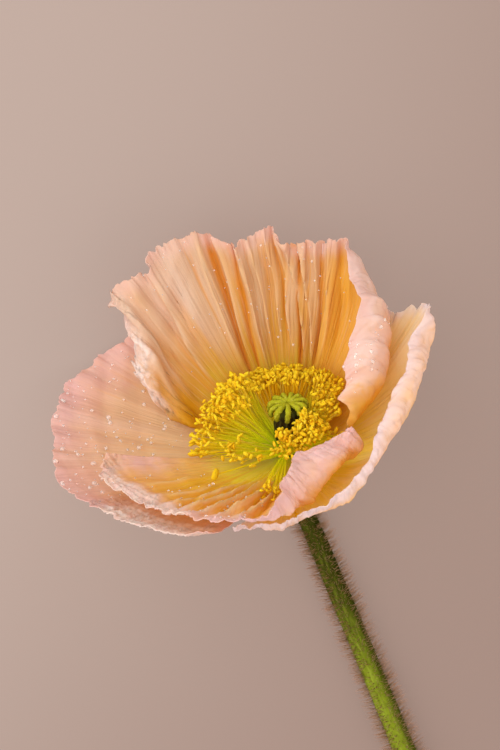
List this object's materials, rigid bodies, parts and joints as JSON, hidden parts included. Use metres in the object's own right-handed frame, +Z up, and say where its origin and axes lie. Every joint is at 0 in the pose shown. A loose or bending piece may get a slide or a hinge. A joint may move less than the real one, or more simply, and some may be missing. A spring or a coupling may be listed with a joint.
{
  "type": "poppy flower",
  "caption": "Cut poppy flower lying on a surface: ruffled papery petals cup a ring of yellow stamens around a green pistil, on a long slender stem.",
  "frame": {"origin": "on the surface the flower lies on, under the middle of its bounding box", "axes": "+Y runs along the stem towards the head, +Z is up from the surface, +X is to the right seen from above"},
  "size_m": [0.1124, 0.184, 0.0657],
  "materials": {
    "petal": "matt, papery, slightly translucent",
    "stem": "matt, finely hairy",
    "pistil": "matt",
    "stamen": "matt, powdery"
  },
  "bodies": {
    "root": {"stem": "stem", "pistil": "pistil", "petal_left": "petal", "petal_right": "petal", "petal_back": "petal", "petal_front": "petal", "stamen_01": "stamen", "stamen_02": "stamen", "stamen_03": "stamen", "stamen_04": "stamen", "stamen_05": "stamen", "stamen_06": "stamen", "stamen_07": "stamen", "stamen_08": "stamen", "stamen_09": "stamen", "stamen_10": "stamen", "stamen_11": "stamen", "stamen_12": "stamen", "stamen_13": "stamen", "stamen_14": "stamen", "stamen_15": "stamen", "stamen_16": "stamen", "stamen_17": "stamen", "stamen_18": "stamen", "stamen_19": "stamen", "stamen_20": "stamen", "stamen_21": "stamen", "stamen_22": "stamen", "stamen_23": "stamen", "stamen_24": "stamen", "stamen_25": "stamen", "stamen_26": "stamen", "stamen_27": "stamen", "stamen_28": "stamen", "stamen_29": "stamen", "stamen_30": "stamen", "stamen_31": "stamen", "stamen_32": "stamen", "stamen_33": "stamen", "stamen_34": "stamen", "stamen_35": "stamen", "stamen_36": "stamen", "stamen_37": "stamen", "stamen_38": "stamen", "stamen_39": "stamen", "stamen_40": "stamen", "stamen_41": "stamen", "stamen_42": "stamen"}
  },
  "joints": []
}
